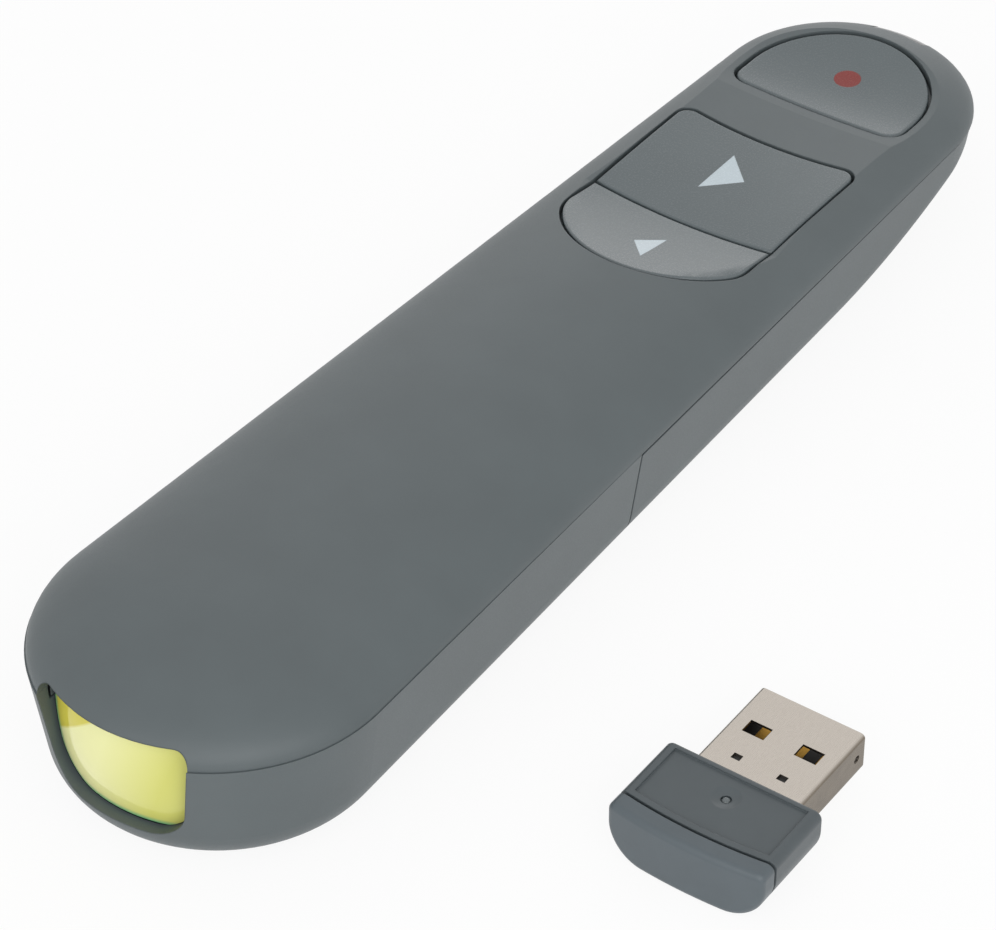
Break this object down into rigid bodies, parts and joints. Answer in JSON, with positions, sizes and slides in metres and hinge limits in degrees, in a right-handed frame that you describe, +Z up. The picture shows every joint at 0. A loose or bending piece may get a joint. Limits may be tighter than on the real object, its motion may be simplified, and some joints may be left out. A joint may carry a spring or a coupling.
{
  "type": "wireless presentation clicker",
  "caption": "Slim handset with a crowned top, finger scoop, spring keys, laser slot, slide-off battery cover and tinted tail window, with its separate plug-in receiver.",
  "frame": {"origin": "middle of the handset's flat underside at half its length, on the desk", "axes": "+Y along the handset from the tail window to the laser end, +Z up out of the keys, +X toward the receiver's side"},
  "size_m": [0.0757, 0.1477, 0.0204],
  "materials": {
    "shell_grey": "soft-touch satin",
    "key_grey": "satin",
    "laser_dot": "printed",
    "key_arrow": "printed",
    "tail_lens": "tinted gloss",
    "laser_glass": "dark gloss",
    "clear_plastic": "clear",
    "cell_sleeve": "printed sleeve",
    "tray_black": "moulded",
    "spring_steel": "nickel plated",
    "plug_steel": "plated",
    "pad_gold": "gold plated",
    "board_green": "solder mask",
    "chip_black": "moulded",
    "switch_black": "moulded",
    "barrel_brass": "turned",
    "screw_steel": "zinc plated",
    "receiver_grey": "fine texture",
    "insulator_black": "moulded"
  },
  "bodies": {
    "handset": {"upper_shell": "shell_grey", "rear_lower_shell": "shell_grey", "battery_tray": "tray_black", "battery_right": "cell_sleeve", "battery_left": "cell_sleeve", "contact_springs": "spring_steel", "contact_plates": "spring_steel", "circuit_board": "board_green", "board_chips": "chip_black", "key_switches": "switch_black", "status_lights": "clear_plastic", "light_guide": "clear_plastic", "tail_lens": "tail_lens", "laser_barrel": "barrel_brass", "laser_lens": "clear_plastic", "laser_window": "laser_glass", "screws": "screw_steel"},
    "laser_key": {"laser_button": "key_grey", "laser_mark": "laser_dot", "laser_plunger": "switch_black"},
    "next_key": {"next_button": "key_grey", "next_mark": "key_arrow", "next_plunger": "switch_black"},
    "previous_key": {"previous_button": "key_grey", "previous_mark": "key_arrow", "previous_plunger": "switch_black"},
    "cover": {"battery_cover": "shell_grey"},
    "receiver": {"receiver_body": "receiver_grey", "receiver_end_cap": "receiver_grey", "receiver_light": "clear_plastic", "receiver_board": "board_green", "plug_shell": "plug_steel", "plug_tongue": "insulator_black", "plug_contacts": "pad_gold"}
  },
  "joints": [
    {"name": "laser_press", "type": "slide", "parent": "handset", "child": "laser_key", "axis": [0, 0, -1], "range_m": [0, 0.0003], "stiffness_N_per_m": 4500},
    {"name": "next_press", "type": "slide", "parent": "handset", "child": "next_key", "axis": [0, 0, -1], "range_m": [0, 0.0003], "stiffness_N_per_m": 4500},
    {"name": "previous_press", "type": "slide", "parent": "handset", "child": "previous_key", "axis": [0, 0, -1], "range_m": [0, 0.0003], "stiffness_N_per_m": 4500},
    {"name": "cover_slide", "type": "slide", "parent": "handset", "child": "cover", "axis": [0, 0.9999, -0.016], "range_m": [0, 0.055]},
    {"name": "receiver_slide", "type": "slide", "parent": "handset", "child": "receiver", "axis": [-0.0035, 1, 0], "range_m": [0, 0.0124]}
  ]
}
